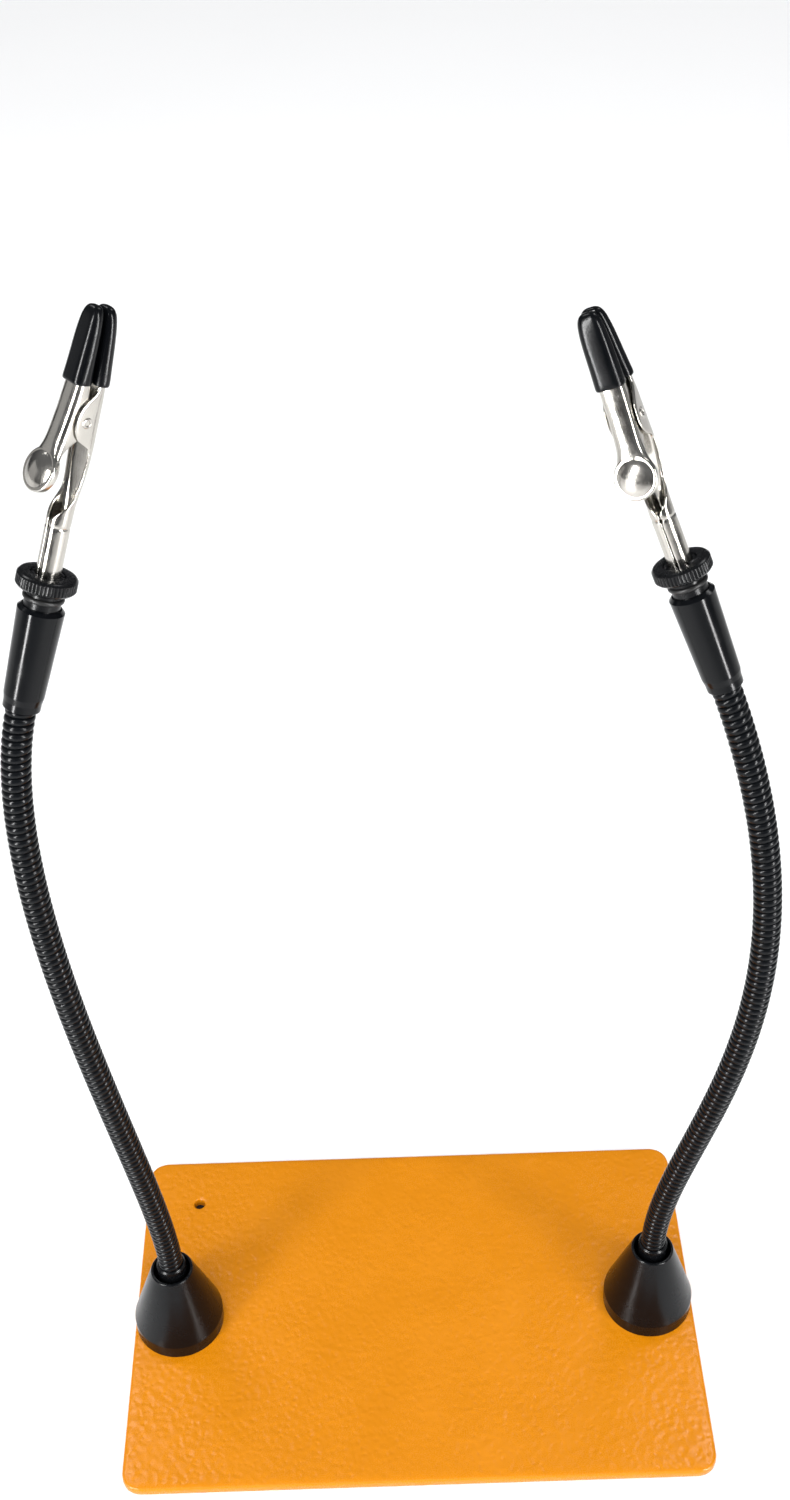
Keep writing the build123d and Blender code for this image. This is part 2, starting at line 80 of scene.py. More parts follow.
bpy.ops.object.camera_add()
camera = bpy.context.object
camera.name = "camera"
camera.data.lens = CAMERA_LENS
camera.data.sensor_width = 36.0
camera.data.clip_start = 0.01
camera.matrix_world = (
    Matrix.Translation(CAMERA_PLACE)
    @ Matrix.Rotation(CAMERA_TURN, 4, "Z")
    @ Matrix.Rotation(math.pi / 2 - CAMERA_DOWN, 4, "X")
    @ Matrix.Rotation(CAMERA_ROLL, 4, "Z")
)
bpy.context.scene.camera = camera
print("camera looks along", [round(v, 3) for v in -camera.matrix_world.col[2].xyz])

# %% [markdown]
# ## Small helpers for modelling
# Edit-mode operators act on whatever is selected, so every step starts by choosing exactly the
# vertices, edges or faces that it should change, by their place or by the way they face.


# %% Modelling helpers
NEAR = 0.001 * MM


def take(obj):
    """Makes obj the only selected and the active object."""
    bpy.ops.object.select_all(action="DESELECT")
    obj.select_set(True)
    bpy.context.view_layer.objects.active = obj
    return obj


def edit(obj, kind="FACE"):
    """Opens obj in edit mode with nothing selected."""
    take(obj)
    bpy.ops.object.mode_set(mode="EDIT")
    bpy.ops.mesh.select_mode(type=kind)
    bpy.ops.mesh.select_all(action="DESELECT")


def done():
    """Closes edit mode."""
    bpy.ops.object.mode_set(mode="OBJECT")


def centre(part):
    """The middle of a vertex, edge or face of an edit mesh."""
    if isinstance(part, bmesh.types.BMVert):
        return part.co.copy()
    return sum((v.co for v in part.verts), Vector()) / len(part.verts)


def pick(obj, kind, test):
    """Selects the verts, edges or faces of the mesh being edited that pass the test."""
    mesh = bmesh.from_edit_mesh(obj.data)
    for old in (mesh.verts, mesh.edges, mesh.faces):
        for part in old:
            part.select = False
    chosen = [part for part in getattr(mesh, kind) if test(part)]
    for part in chosen:
        part.select_set(True)
    mesh.select_flush_mode()
    bmesh.update_edit_mesh(obj.data)
    return len(chosen)


def modifier(obj, kind, **values):
    """Adds a modifier, sets its values and applies it."""
    take(obj)
    added = obj.modifiers.new(kind.lower(), kind)
    for name, value in values.items():
        setattr(added, name, value)
    bpy.ops.object.modifier_apply(modifier=added.name)


def tidy_mesh(obj, gap=NEAR):
    """Merges doubled vertices and turns every face outwards."""
    edit(obj, "VERT")
    bpy.ops.mesh.select_all(action="SELECT")
    bpy.ops.mesh.remove_doubles(threshold=gap)
    bpy.ops.mesh.normals_make_consistent(inside=False)
    done()


def settle(obj, name, scale=(1, 1, 1)):
    """Names a piece, stretches it, and puts its place, turn and size into its mesh."""
    take(obj)
    obj.scale = scale
    bpy.ops.object.transform_apply(location=True, rotation=True, scale=True)
    obj.name = name
    obj.data.name = name
    return obj


def smooth(obj, degrees):
    """Shades faces smooth wherever they meet at less than this angle."""
    take(obj)
    bpy.ops.object.shade_smooth_by_angle(angle=math.radians(degrees))


def report(obj):
    """Prints a piece's triangle count and size."""
    triangles = sum(len(face.vertices) - 2 for face in obj.data.polygons)
    size = ", ".join(f"{v / MM:.1f}" for v in obj.dimensions)
    print(f"{obj.name}: {triangles} triangles, {size} mm")


# %% [markdown]
# ## Where the two heads point
# The nut's joint gives the middle of the nut's top face and the way the head points, and the jaw's
# joint gives the rivet. From these two each head gets its own upright frame: Z along the clip,
# X along the rivet, and Y towards the fixed jaw. A piece is modelled upright in it, then moved.


# %% Head frames
def head_frame(side):
    """The matrix that takes an upright head to its place on one side."""
    nut, jaw = JOINTS[f"{side}_nut_turn"], JOINTS[f"{side}_jaw"]
    z = Vector(nut["axis"]).normalized()
    x = Vector(jaw["axis"]).normalized()
    y = z.cross(x)
    turn = Matrix((x, y, z)).transposed().to_4x4()
    return Matrix.Translation(nut["pos_m"]) @ turn


HEADS = {side: head_frame(side) for side in SIDES}
for side, place in HEADS.items():
    rivet = place.inverted() @ Vector(JOINTS[f"{side}_jaw"]["pos_m"])
    print(side, "rivet in its head frame, mm:", [round(v / MM, 2) for v in rivet])

# %% [markdown]
# ## Light
# A glossy black sleeve shows its shape by the lights that it mirrors, and plated steel only looks
# like metal when part of what it mirrors is dark. So the light that fills the scene and the light
# that is mirrored are made apart. The softboxes and the overhead sheet aren't seen in
# reflections. Two narrow strips are seen only there, and draw the long lines on the sleeves and
# feet. Dim cards at the sides and two small lamps behind are seen in both ways.


# %% Lights
# name, place, height aimed at over the origin, width, height, power: metres and watts
LAMPS = (
    ("softbox_left", (-0.52, -0.50, 0.40), 0.36, 0.16, 0.80, 6.0),
    ("softbox_right", (0.52, -0.50, 0.40), 0.36, 0.16, 0.80, 4.5),
    ("card_left", (-1.0, 0.15, 0.30), 0.20, 0.50, 0.70, 0.5),
    ("card_right", (1.0, 0.15, 0.30), 0.20, 0.50, 0.70, 0.4),
    ("strip_left", (-0.52, -0.48, 0.42), 0.36, 0.09, 0.80, 13.0),
    ("strip_right", (0.52, -0.48, 0.42), 0.36, 0.09, 0.80, 10.0),
    ("back_light_left", (-0.36, 0.36, 0.83), 0.05, 0.20, 0.20, 1.1),
    ("back_light_right", (0.36, 0.36, 0.83), 0.05, 0.20, 0.20, 1.1),
)
OVERHEAD_LEAN = math.radians(30)
OVERHEAD_SPREAD = math.radians(50)
OVERHEAD_STRENGTH = 2.6

for name, place, aim, width, height, power in LAMPS:
    bpy.ops.object.light_add(type="AREA", location=place)
    lamp = bpy.context.object
    lamp.name = name
    lamp.data.shape = "RECTANGLE"
    lamp.data.size, lamp.data.size_y = width, height
    lamp.data.energy = power
    toward = Vector((0, 0, aim)) - Vector(place)
    lamp.rotation_euler = toward.to_track_quat("-Z", "Y").to_euler()
    lamp.visible_glossy = not name.startswith("softbox")
    lamp.visible_diffuse = not name.startswith("strip")

bpy.ops.object.light_add(type="SUN", rotation=(OVERHEAD_LEAN, 0, 0))
overhead = bpy.context.object
overhead.name = "overhead_sheet"
overhead.data.energy = OVERHEAD_STRENGTH
overhead.data.angle = OVERHEAD_SPREAD
overhead.visible_glossy = False
print("lights:", len(LAMPS) + 1)

# %% [markdown]
# ## Floor and surroundings
# The floor is one large white sheet. The room around it is a plain gradient, nearly dark at the
# horizon and a soft grey overhead.

# %% Floor and surroundings
FLOOR_SIZE = 6.0
HORIZON = (0.46, (0.03, 0.03, 0.033, 1))
ZENITH = (0.80, (0.20, 0.205, 0.215, 1))

bpy.ops.mesh.primitive_plane_add(size=FLOOR_SIZE, location=(0, 0, 0))
floor = bpy.context.object
floor.name = "floor"

world = bpy.data.worlds.new("studio")
bpy.context.scene.world = world
world.use_nodes = True
tree = world.node_tree
toward = tree.nodes.new("ShaderNodeTexCoord")
axes = tree.nodes.new("ShaderNodeSeparateXYZ")
shade = tree.nodes.new("ShaderNodeValToRGB")
backdrop = tree.nodes["Background"]
for element, (position, colour) in zip(shade.color_ramp.elements, (HORIZON, ZENITH)):
    element.position = position
    element.color = colour
half = tree.nodes.new("ShaderNodeMath")
half.operation = "MULTIPLY_ADD"
half.inputs[1].default_value = 0.5
half.inputs[2].default_value = 0.5
tree.links.new(toward.outputs["Generated"], axes.inputs["Vector"])
tree.links.new(axes.outputs["Z"], half.inputs[0])
tree.links.new(half.outputs["Value"], shade.inputs["Fac"])
tree.links.new(shade.outputs["Color"], backdrop.inputs["Color"])
bpy.context.scene.view_settings.view_transform = "Standard"
print("floor:", FLOOR_SIZE, "m wide")

# %% [markdown]
# ## Shared surface effects
# Three effects serve more than one finish, so each is a node group that is built once. *Grain* is
# the fine unevenness of moulded and painted skins. *Handling* is the faint, cloudy haze that
# fingers leave on gloss, with a few specks of dust on what faces up. *Turning* is the fine ring
# pattern that a lathe leaves round an axis.


# %% Node helpers
def new_group(name, inputs, outputs):
    """An empty node group with its sockets. Returns it with its input and output nodes."""
    tree = bpy.data.node_groups.new(name, "ShaderNodeTree")
    for label, value in inputs.items():
        socket = tree.interface.new_socket(label, in_out="INPUT", socket_type="NodeSocketFloat")
        socket.default_value = value
    for label in outputs:
        tree.interface.new_socket(label, in_out="OUTPUT", socket_type="NodeSocketFloat")
    return tree, tree.nodes.new("NodeGroupInput"), tree.nodes.new("NodeGroupOutput")


def add(tree, kind, **settings):
    """Adds a node and sets its properties, and its inputs by name."""
    node = tree.nodes.new(kind)
    for name, value in settings.items():
        if hasattr(node, name):
            setattr(node, name, value)
        else:
            node.inputs[name.replace("_", " ")].default_value = value
    return node


def math_node(tree, operation, a, b):
    """A Math node whose two inputs are sockets or numbers. Returns its output."""
    node = tree.nodes.new("ShaderNodeMath")
    node.operation = operation
    for socket, value in zip(node.inputs, (a, b)):
        if isinstance(value, (int, float)):
            socket.default_value = value
        else:
            tree.links.new(value, socket)
    return node.outputs["Value"]


def map_range(tree, value, low, high, to_low, to_high):
    """Stretches a value from one span to another. Returns the result's socket."""
    node = tree.nodes.new("ShaderNodeMapRange")
    tree.links.new(value, node.inputs["Value"])
    spans = {"From Min": low, "From Max": high, "To Min": to_low, "To Max": to_high}
    for name, number in spans.items():
        node.inputs[name].default_value = number
    return node.outputs["Result"]


# %% Grain, handling and turning groups
def make_grain():
    inputs = {"Scale": 1500.0, "Coarse Scale": 400.0}
    tree, given, out = new_group("grain", inputs, ["Height", "Cloud"])
    where = add(tree, "ShaderNodeTexCoord").outputs["Object"]
    fine = add(tree, "ShaderNodeTexNoise", Detail=3.0, Roughness=0.6)
    coarse = add(tree, "ShaderNodeTexNoise", Detail=2.0, Roughness=0.5)
    for node, scale in ((fine, "Scale"), (coarse, "Coarse Scale")):
        tree.links.new(where, node.inputs["Vector"])
        tree.links.new(given.outputs[scale], node.inputs["Scale"])
    both = math_node(tree, "ADD", fine.outputs["Fac"], coarse.outputs["Fac"])
    tree.links.new(math_node(tree, "MULTIPLY", both, 0.5), out.inputs["Height"])
    tree.links.new(coarse.outputs["Fac"], out.inputs["Cloud"])
    return tree


def make_handling():
    inputs = {"Scale": 90.0, "Clean": 0.12, "Hazed": 0.30}
    tree, given, out = new_group("handling", inputs, ["Roughness", "Dust"])
    where = add(tree, "ShaderNodeTexCoord").outputs["Object"]
    smear = add(tree, "ShaderNodeTexNoise", Detail=5.0, Roughness=0.65, Distortion=0.8)
    tree.links.new(where, smear.inputs["Vector"])
    tree.links.new(given.outputs["Scale"], smear.inputs["Scale"])
    share = map_range(tree, smear.outputs["Fac"], 0.35, 0.75, 0.0, 1.0)
    span = math_node(tree, "SUBTRACT", given.outputs["Hazed"], given.outputs["Clean"])
    rise = math_node(tree, "MULTIPLY", share, span)
    tree.links.new(math_node(tree, "ADD", rise, given.outputs["Clean"]), out.inputs["Roughness"])
    specks = add(tree, "ShaderNodeTexNoise", Scale=2600.0, Detail=2.0)
    tree.links.new(where, specks.inputs["Vector"])
    sharp = map_range(tree, specks.outputs["Fac"], 0.62, 0.72, 0.0, 1.0)
    facing = add(tree, "ShaderNodeSeparateXYZ")
    tree.links.new(add(tree, "ShaderNodeNewGeometry").outputs["Normal"], facing.inputs["Vector"])
    upward = map_range(tree, facing.outputs["Z"], 0.1, 0.9, 0.0, 1.0)
    settled = math_node(tree, "MULTIPLY", sharp, upward)
    tree.links.new(settled, out.inputs["Dust"])
    return tree


def make_turning():
    inputs = {"Rings": 5000.0, "X": 0.0, "Y": 0.0, "Z": 0.0}
    tree, given, out = new_group("turning", inputs, ["Height"])
    apart = add(tree, "ShaderNodeCombineXYZ")
    for axis in "XY":
        tree.links.new(given.outputs[axis], apart.inputs[axis])
    radius = add(tree, "ShaderNodeVectorMath", operation="LENGTH")
    tree.links.new(apart.outputs["Vector"], radius.inputs[0])
    along = math_node(tree, "ADD", radius.outputs["Value"], given.outputs["Z"])
    lines = add(tree, "ShaderNodeTexNoise", noise_dimensions="1D", Scale=1.0, Detail=2.0)
    tree.links.new(math_node(tree, "MULTIPLY", along, given.outputs["Rings"]), lines.inputs["W"])
    tree.links.new(lines.outputs["Fac"], out.inputs["Height"])
    return tree


GRAIN, HANDLING, TURNING = make_grain(), make_handling(), make_turning()
print("groups:", [tree.name for tree in (GRAIN, HANDLING, TURNING)])

# %% [markdown]
# ## Finishes
# Each finish is one small function. A Principled shader carries the plain values on its own
# sockets, and only what changes over the surface is wired to it: a colour that drifts, a
# roughness with haze in it, and a bump with the real texture's size.


# %% Material helpers
def new_material(name, **values):
    """A material with a Principled shader. Its plain values are given by socket name."""
    material = bpy.data.materials.new(name)
    material.use_nodes = True
    shader = material.node_tree.nodes["Principled BSDF"]
    for label, value in values.items():
        shader.inputs[label.replace("_", " ")].default_value = value
    return material, material.node_tree, shader


def use_group(tree, group, **values):
    """Places a shared group with this finish's own values."""
    node = tree.nodes.new("ShaderNodeGroup")
    node.node_tree = group
    for label, value in values.items():
        node.inputs[label.replace("_", " ")].default_value = value
    return node


def colour_between(tree, shader, factor, dark, light):
    """Wires a base colour that drifts between two colours with a factor."""
    ramp = tree.nodes.new("ShaderNodeValToRGB")
    ramp.color_ramp.elements[0].color = (*dark, 1)
    ramp.color_ramp.elements[1].color = (*light, 1)
    tree.links.new(factor, ramp.inputs["Fac"])
    tree.links.new(ramp.outputs["Color"], shader.inputs["Base Color"])


def bump(tree, shader, height, distance, strength=1.0, under=None):
    """Adds a Bump node. Distance is the depth in metres that a height of one stands for."""
    node = add(tree, "ShaderNodeBump", Distance=distance, Strength=strength)
    tree.links.new(height, node.inputs["Height"])
    if under is not None:
        tree.links.new(under.outputs["Normal"], node.inputs["Normal"])
    tree.links.new(node.outputs["Normal"], shader.inputs["Normal"])
    return node


def in_head(tree, side):
    """The place on a head piece in its own upright frame, as a vector and as X, Y and Z."""
    inverse = HEADS[side].inverted()
    where = add(tree, "ShaderNodeTexCoord")
    mapping = add(tree, "ShaderNodeMapping", vector_type="POINT")
    mapping.inputs["Location"].default_value = inverse.to_translation()
    mapping.inputs["Rotation"].default_value = inverse.to_euler("XYZ")
    split = add(tree, "ShaderNodeSeparateXYZ")
    tree.links.new(where.outputs["Object"], mapping.inputs["Vector"])
    tree.links.new(mapping.outputs["Vector"], split.inputs["Vector"])
    return mapping.outputs["Vector"], split.outputs


# %% Paint and moulded finishes
ORANGE = ((0.51, 0.170, 0.0015), (0.58, 0.198, 0.0020))
GLOSS = ((0.0018, 0.0022, 0.0029), (0.0060, 0.0066, 0.0075))
# COIL runs from painted shade in the neck's grooves to its lighter, rubbed rib crests.
COIL = ((0.0014, 0.0018, 0.0024), (0.0040, 0.0047, 0.0058))
DENT_WANDER = 0.0016


def hammered_orange():
    material, tree, shader = new_material("orange_hammered_paint", Specular_IOR_Level=0.34)
    where = add(tree, "ShaderNodeTexCoord").outputs["Object"]
    dents = add(tree, "ShaderNodeTexVoronoi", feature="SMOOTH_F1", Scale=620.0, Smoothness=0.9)
    wander = add(tree, "ShaderNodeTexNoise", Scale=300.0, Detail=2.0)
    shift = add(tree, "ShaderNodeVectorMath", operation="MULTIPLY_ADD")
    shift.inputs[1].default_value = (DENT_WANDER, DENT_WANDER, DENT_WANDER)
    tree.links.new(where, wander.inputs["Vector"])
    tree.links.new(wander.outputs["Color"], shift.inputs[0])
    tree.links.new(where, shift.inputs[2])
    tree.links.new(shift.outputs["Vector"], dents.inputs["Vector"])
    grain = use_group(tree, GRAIN, Scale=3200.0, Coarse_Scale=60.0)
    colour_between(tree, shader, grain.outputs["Cloud"], *ORANGE)
    rough = map_range(tree, grain.outputs["Height"], 0.3, 0.7, 0.20, 0.34)
    tree.links.new(rough, shader.inputs["Roughness"])
    large = bump(tree, shader, dents.outputs["Distance"], 0.14 * MM)
    bump(tree, shader, grain.outputs["Height"], 0.035 * MM, under=large)
    return material


def gloss_black(name, clean, hazed, grain_depth):
    material, tree, shader = new_material(name, Specular_IOR_Level=0.18)
    grain = use_group(tree, GRAIN, Scale=2400.0, Coarse_Scale=240.0)
    worn = use_group(tree, HANDLING, Scale=110.0, Clean=clean, Hazed=hazed)
    tree.links.new(worn.outputs["Roughness"], shader.inputs["Roughness"])
    colour_between(tree, shader, worn.outputs["Dust"], *GLOSS)
    bump(tree, shader, grain.outputs["Height"], grain_depth)
    return material


def neck_black():
    material, tree, shader = new_material("black_coiled_steel", Specular_IOR_Level=0.14)
    crest = add(tree, "ShaderNodeAttribute", attribute_name="crest").outputs["Fac"]
    grain = use_group(tree, GRAIN, Scale=2600.0, Coarse_Scale=180.0)
    patches = map_range(tree, grain.outputs["Cloud"], 0.35, 0.7, 0.2, 1.0)
    # Lighter towards the rib crests, in patches: the rubbed crests are real wear, and the darker grooves between
    # the ribs are painted shade.
    rubbed_crests_groove_shade = math_node(tree, "MULTIPLY", crest, patches)
    colour_between(tree, shader, rubbed_crests_groove_shade, *COIL)
    rough = map_range(tree, rubbed_crests_groove_shade, 0.0, 1.0, 0.30, 0.16)
    tree.links.new(rough, shader.inputs["Roughness"])
    bump(tree, shader, grain.outputs["Height"], 0.02 * MM)
    return material


def soft_rubber(name, dark, light, rough):
    material, tree, shader = new_material(name, Specular_IOR_Level=0.35)
    grain = use_group(tree, GRAIN, Scale=2100.0, Coarse_Scale=500.0)
    colour_between(tree, shader, grain.outputs["Height"], dark, light)
    uneven = map_range(tree, grain.outputs["Height"], 0.3, 0.7, rough - 0.08, rough + 0.08)
    tree.links.new(uneven, shader.inputs["Roughness"])
    bump(tree, shader, grain.outputs["Height"], 0.06 * MM)
    return material


# %% Metal finishes
ANODISED = ((0.0026, 0.0029, 0.0035), (0.0080, 0.0085, 0.0095))
PLATED = ((0.44, 0.42, 0.385), (0.55, 0.53, 0.49))
BARE = ((0.42, 0.42, 0.43), (0.58, 0.58, 0.59))
STREAK_STRETCH = 0.08


def turned_black(side):
    material, tree, shader = new_material(f"{side}_black_turned_metal", Specular_IOR_Level=0.22)
    _, axes = in_head(tree, side)
    marks = use_group(tree, TURNING, Rings=9000.0)
    for label in "XYZ":
        tree.links.new(axes[label], marks.inputs[label])
    worn = use_group(tree, HANDLING, Scale=240.0, Clean=0.20, Hazed=0.34)
    tree.links.new(worn.outputs["Roughness"], shader.inputs["Roughness"])
    colour_between(tree, shader, worn.outputs["Dust"], *ANODISED)
    bump(tree, shader, marks.outputs["Height"], 0.012 * MM)
    return material


def bright_nickel(side):
    material, tree, shader = new_material(f"{side}_bright_nickel", Metallic=1.0)
    place, _ = in_head(tree, side)
    stretch = add(tree, "ShaderNodeMapping")
    stretch.inputs["Scale"].default_value = (1.0, 1.0, STREAK_STRETCH)
    tree.links.new(place, stretch.inputs["Vector"])
    streak = add(tree, "ShaderNodeTexNoise", Scale=5200.0, Detail=3.0, Roughness=0.6)
    tree.links.new(stretch.outputs["Vector"], streak.inputs["Vector"])
    wave = add(tree, "ShaderNodeTexNoise", Scale=260.0, Detail=1.0)
    tree.links.new(place, wave.inputs["Vector"])
    worn = use_group(tree, HANDLING, Scale=160.0, Clean=0.10, Hazed=0.24)
    brushed = map_range(tree, streak.outputs["Fac"], 0.4, 0.7, 0.0, 0.08)
    rough = math_node(tree, "ADD", worn.outputs["Roughness"], brushed)
    tree.links.new(rough, shader.inputs["Roughness"])
    colour_between(tree, shader, wave.outputs["Fac"], *PLATED)
    broad = bump(tree, shader, wave.outputs["Fac"], 0.045 * MM)
    bump(tree, shader, streak.outputs["Fac"], 0.004 * MM, under=broad)
    return material


def plain_steel():
    material, tree, shader = new_material("plain_steel", Metallic=1.0)
    grain = use_group(tree, GRAIN, Scale=1800.0, Coarse_Scale=220.0)
    worn = use_group(tree, HANDLING, Scale=120.0, Clean=0.28, Hazed=0.45)
    tree.links.new(worn.outputs["Roughness"], shader.inputs["Roughness"])
    colour_between(tree, shader, grain.outputs["Cloud"], *BARE)
    bump(tree, shader, grain.outputs["Height"], 0.01 * MM)
    return material


# %% Build the finishes
PAINT = hammered_orange()
FOOT_BLACK = gloss_black("black_foot_moulding", 0.20, 0.34, 0.012 * MM)
SLEEVE_BLACK = gloss_black("black_sleeve_gloss", 0.13, 0.24, 0.008 * MM)
TIP_PVC = gloss_black("black_soft_pvc", 0.17, 0.30, 0.020 * MM)
NECK = neck_black()
MAT = soft_rubber("mat_rubber", (0.012, 0.012, 0.012), (0.030, 0.030, 0.030), 0.72)
RING = soft_rubber("ring_rubber", (0.007, 0.007, 0.007), (0.014, 0.014, 0.014), 0.42)
STEEL = plain_steel()
TURNED = {side: turned_black(side) for side in SIDES}
NICKEL = {side: bright_nickel(side) for side in SIDES}

paper, tree, shader = new_material("white_paper_sweep", Roughness=0.9)
grain = use_group(tree, GRAIN, Scale=900.0, Coarse_Scale=8.0)
colour_between(tree, shader, grain.outputs["Height"], (0.90, 0.90, 0.90), (0.93, 0.93, 0.93))
floor.data.materials.append(paper)
made = (PAINT, FOOT_BLACK, SLEEVE_BLACK, TIP_PVC, NECK, MAT, RING, STEEL, paper)
print("finishes:", len(made) + len(TURNED) + len(NICKEL))

# %% [markdown]
# ## The base plate
# On the real holder this is a 3 mm steel plate with hammered paint: the powder flows into shallow
# dents as it cures. A boolean would cut the corners and the hole but leave a mesh that can't be
# dented evenly. So the plate is a coarse grid of quads whose corner edges, rim and hole are
# bevelled, then subdivided smoothly, and a cloud texture presses real dents into its top. The
# underside stays flat, so its many small faces are swapped for a few large ones.

# %% Base plate
PLATE_CELL = 5.0 * MM
PLATE_CORNER = 5.0 * MM
PLATE_RIM = 0.5 * MM
HOLE_DIAMOND = 2.2 * MM
HOLE_LIP = 0.25 * MM
# how far off a point, an edge or a face may be and still be picked
AT_HOLE = 0.6 * MM
CLOSE = 0.1 * MM
TINY = 0.01 * MM

plate_low, plate_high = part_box("base_plate")
mounts = {mount["name"]: mount for mount in frame["record"]["mounts"]}
hole = Vector(mounts["accessory_hole"]["pos_m"])


def on_rim(edge):
    """An edge that runs along the plate's outline, on its top or its underside."""
    flat = abs(edge.verts[0].co.z - edge.verts[1].co.z) < TINY
    sideways = [abs(face.normal.z) < 0.5 for face in edge.link_faces]
    return flat and any(sideways) and not all(sideways)


def from_hole(place):
    """How far a place is from the hole's axis."""
    return (place.xy - hole.xy).length


def at_corner(edge, middle, size):
    """An upright edge at one of the plate's four corners."""
    away = centre(edge) - middle
    return abs(away.x) > size.x / 2 - CLOSE and abs(away.y) > size.y / 2 - CLOSE


def base_plate():
    """The plate as a box of square cells, with round corners and a bevelled rim."""
    size = plate_high - plate_low
    cells = (round(size.x / PLATE_CELL), round(size.y / PLATE_CELL))
    middle = (plate_low + plate_high) / 2
    bpy.ops.mesh.primitive_grid_add(
        x_subdivisions=cells[0], y_subdivisions=cells[1], size=1.0,
        location=(middle.x, middle.y, plate_low.z),
    )
    plate = settle(bpy.context.object, "hammered_plate", (size.x, size.y, 1))
    edit(plate)
    bpy.ops.mesh.select_all(action="SELECT")
    bpy.ops.mesh.extrude_region_move(TRANSFORM_OT_translate={"value": (0, 0, size.z)})
    bpy.ops.mesh.select_all(action="SELECT")
    bpy.ops.mesh.normals_make_consistent(inside=False)
    pick(plate, "verts", lambda v: from_hole(v.co) < AT_HOLE)
    bpy.ops.transform.translate(value=(0, hole.y - round(hole.y / PLATE_CELL) * PLATE_CELL, 0))
    pick(plate, "edges", lambda e: at_corner(e, middle, size))
    bpy.ops.mesh.bevel(offset=PLATE_CORNER - CLOSE, segments=4, affect="EDGES", clamp_overlap=False)
    pick(plate, "edges", on_rim)
    bpy.ops.mesh.bevel(offset=PLATE_RIM, segments=1, affect="EDGES", clamp_overlap=False)
    done()
    return plate


def accessory_hole(plate):
    """Opens the grid at the hole: a diamond that the subdivision below rounds to a circle."""
    edit(plate, "VERT")
    pick(plate, "verts", lambda v: from_hole(v.co) < AT_HOLE)
    bpy.ops.mesh.bevel(offset=HOLE_DIAMOND, segments=1, affect="VERTICES", clamp_overlap=False)
    bpy.ops.mesh.select_mode(type="FACE")
    rims = pick(plate, "faces", lambda f: from_hole(centre(f)) < AT_HOLE)
    bpy.ops.mesh.bridge_edge_loops()
    bpy.ops.mesh.select_mode(type="EDGE")
    pick(plate, "edges", lambda e: all(from_hole(v.co) < HOLE_DIAMOND + CLOSE for v in e.verts)
         and abs(e.verts[0].co.z - e.verts[1].co.z) < TINY)
    bpy.ops.mesh.bevel(offset=HOLE_LIP, segments=1, affect="EDGES", clamp_overlap=False)
    done()
    print("hole rims opened:", rims)


plate = base_plate()
accessory_hole(plate)
modifier(plate, "SUBSURF", levels=3, render_levels=3)

# %% Dents and underside
TOP_SKIN = 0.2 * MM
DENT_DEPTH = 0.05 * MM
DENT_SIZE = 2.6 * MM
FACING_DOWN = -0.999

dented = plate.vertex_groups.new(name="dented")
top_face = plate_high.z - TOP_SKIN
dented.add([v.index for v in plate.data.vertices if v.co.z > top_face], 1.0, "REPLACE")
clouds = bpy.data.textures.new("dents", "CLOUDS")
clouds.noise_scale = DENT_SIZE
modifier(plate, "DISPLACE", texture=clouds, strength=DENT_DEPTH, mid_level=0.6,
         vertex_group="dented")
edit(plate)
pick(plate, "faces", lambda f: f.normal.z < FACING_DOWN and centre(f).z < plate_low.z + TINY)
bpy.ops.mesh.delete(type="FACE")
bpy.ops.mesh.select_mode(type="EDGE")
bpy.ops.mesh.select_non_manifold()
bpy.ops.mesh.fill(use_beauty=True)
bpy.ops.mesh.select_all(action="SELECT")
bpy.ops.mesh.normals_make_consistent(inside=False)
done()
smooth(plate, degrees=50)
plate.data.materials.append(PAINT)
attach(plate, "base")
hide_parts("base_plate")
report(plate)

# %% [markdown]
# ## The goosenecks
# A gooseneck is a steel wire wound into a tube that keeps any shape it is bent to. Its ribs are one
# long helix, so a Screw modifier winds one rib's outline up a straight axis, exactly as the
# winding machine does. A Curve modifier then lays the straight tube along the arm's line. Each
# arm's tube is wound in three lengths that meet in the middle of its stiff stretches, and each
# length holds one of the arm's bend joints.

# %% Gooseneck lines
HANDLES = {"left": (38.5 * MM, 45.5 * MM), "right": (44.0 * MM, 88.0 * MM)}
NECK_RADIUS = 3.15 * MM
RIB_PITCH = 1.7 * MM
RIB_DEPTH = 0.60 * MM
SLEEVE_BOTTOM = -29.1 * MM
FERRULE_TOP = 26.0 * MM
HIDDEN_END = 4.2 * MM
RIB_WELD = 0.02 * MM
WINDING_STEPS = 32
RIB_POINTS = 16
CURVE_STEPS = 200
LINE_STEPS = 800


def neck_line(side):
    """The arm's centreline as a Bezier curve from the ferrule's top to the grip sleeve's bottom."""
    foot_low, foot_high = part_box(f"{side}_foot_housing")
    start = (foot_low + foot_high) / 2
    start.z = foot_low.z + FERRULE_TOP
    end = HEADS[side] @ Vector((0, 0, SLEEVE_BOTTOM))
    bpy.ops.curve.primitive_bezier_curve_add(location=(0, 0, 0))
    curve = bpy.context.object
    curve.name = f"{side}_neck_line"
    curve.data.resolution_u = CURVE_STEPS
    low, high = curve.data.splines[0].bezier_points
    hold_foot, hold_head = HANDLES[side]
    up = Vector((0, 0, hold_foot))
    along = HEADS[side].col[2].xyz * hold_head
    for point, place, hold in ((low, start, up), (high, end, along)):
        point.handle_left_type = point.handle_right_type = "FREE"
        point.co, point.handle_left, point.handle_right = place, place - hold, place + hold
    return curve


def along_line(curve):
    """Points along a curve with their distance from its start."""
    low, high = curve.data.splines[0].bezier_points
    a, b, c, d = (Vector(p) for p in (low.co, low.handle_right, high.handle_left, high.co))
    points, lengths = [], []
    for i in range(LINE_STEPS + 1):
        t = i / LINE_STEPS
        s = 1 - t
        points.append(a * s**3 + b * (3 * s * s * t) + c * (3 * s * t * t) + d * t**3)
        lengths.append(lengths[-1] + (points[-1] - points[-2]).length if i else 0.0)
    return points, lengths


